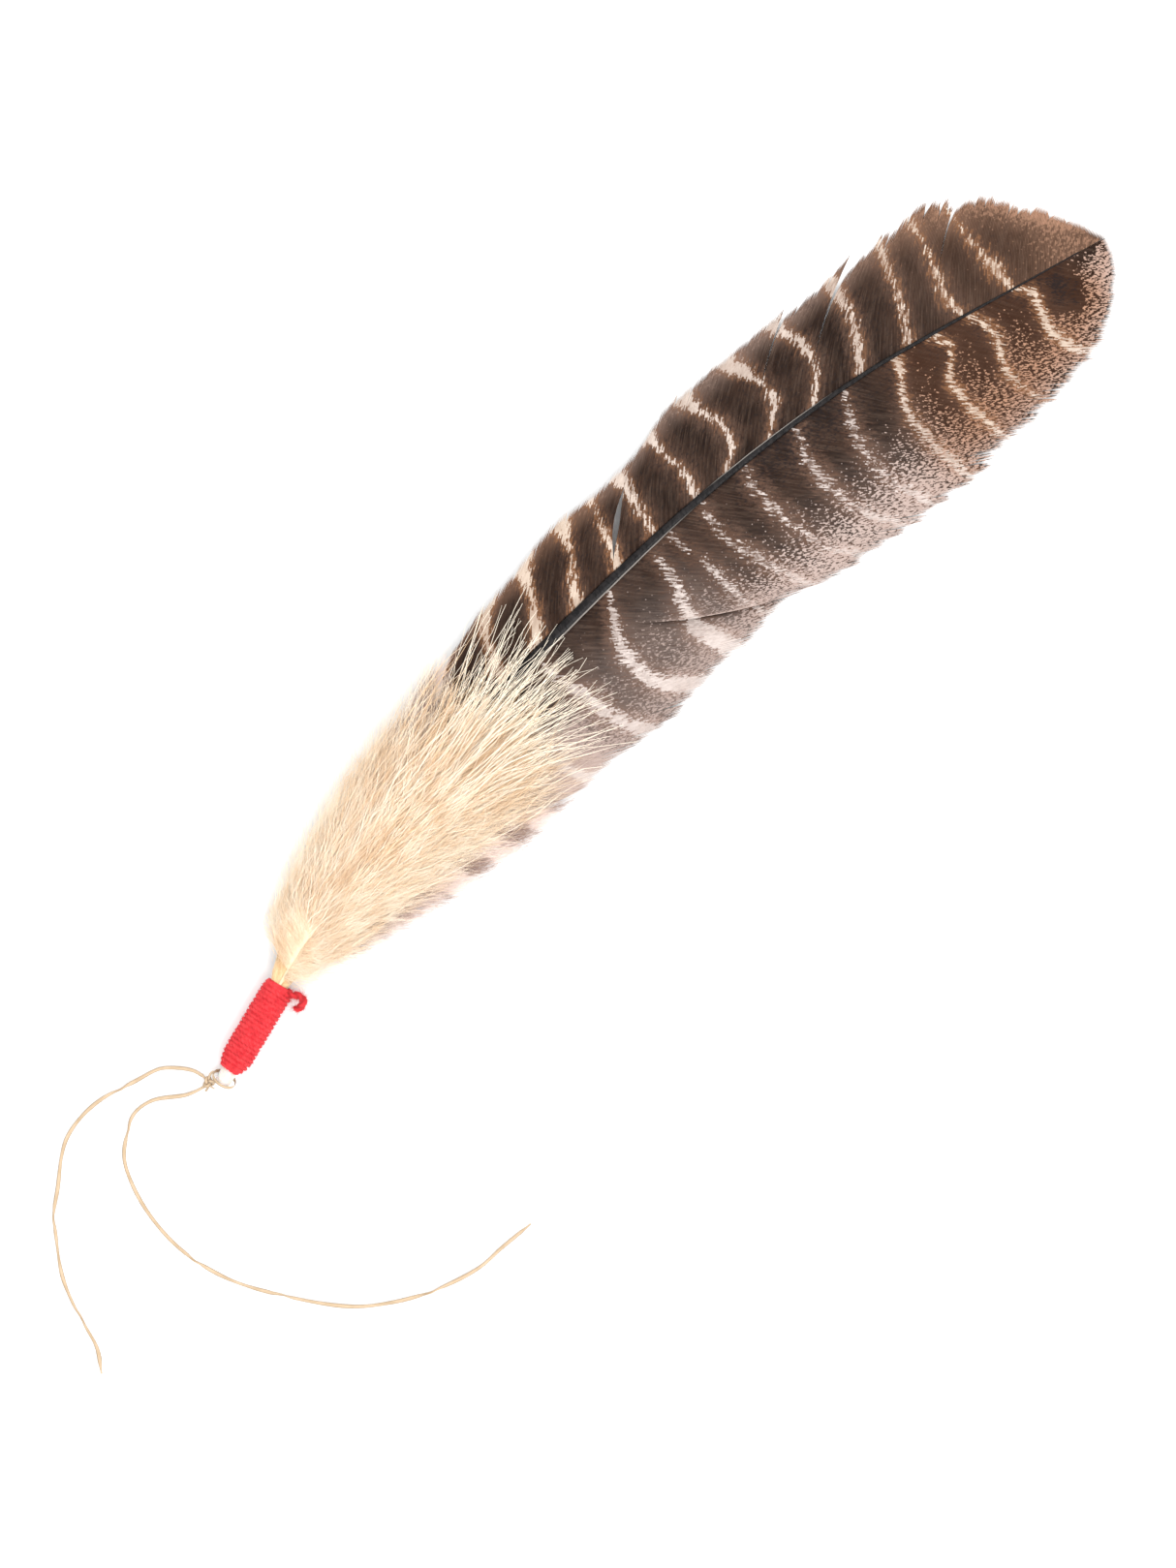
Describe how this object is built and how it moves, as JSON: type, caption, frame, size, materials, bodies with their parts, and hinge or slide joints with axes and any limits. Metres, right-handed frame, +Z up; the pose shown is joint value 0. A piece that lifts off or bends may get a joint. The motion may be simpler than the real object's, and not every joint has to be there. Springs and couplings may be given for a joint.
{
  "type": "ceremonial feather",
  "caption": "Barred bird feather with a fluffy cream plume over its base, a yarn-wound handle and a raffia tie with two free strands.",
  "frame": {"origin": "middle of the flat under the yarn handle, where the feather rests on the table", "axes": "+Y towards the feather's tip, +Z up out of the feather's back, +X towards the wide vane"},
  "size_m": [0.1255, 0.3746, 0.0148],
  "materials": {
    "pale_horn": "smooth translucent horn, satin",
    "pulp": "dry and papery",
    "dark_shaft": "near-black glossy horn with lighter cross marks",
    "barred_vane": "dark brown barbs with cream and rust bars and fine mottling",
    "grey_down": "soft grey-pink down",
    "plume_horn": "smooth cream-yellow horn",
    "tan_down": "short dense tan barbs",
    "cream_down": "fine cream marabou fluff",
    "red_yarn": "plied matt yarn with a light fuzz",
    "raffia": "dry straw-coloured palm fibre, satin, with darker edges"
  },
  "bodies": {
    "root": {"calamus": "pale_horn", "quill_pulp": "pulp", "rachis": "dark_shaft", "vane_left_base": "barred_vane", "vane_left_lower": "barred_vane", "vane_left_upper": "barred_vane", "vane_left_shoulder": "barred_vane", "vane_left_tip": "barred_vane", "vane_right_base": "barred_vane", "vane_right_middle": "barred_vane", "vane_right_tip": "barred_vane", "downy_base_left": "grey_down", "downy_base_right": "grey_down", "plume_quill": "plume_horn", "plume_base_barbs": "tan_down", "plume_down_left": "cream_down", "plume_down_right": "cream_down", "yarn_winding": "red_yarn", "yarn_tail": "red_yarn", "raffia_loop": "raffia", "raffia_knot": "raffia", "raffia_strand_left": "raffia", "raffia_strand_right": "raffia"}
  },
  "joints": []
}
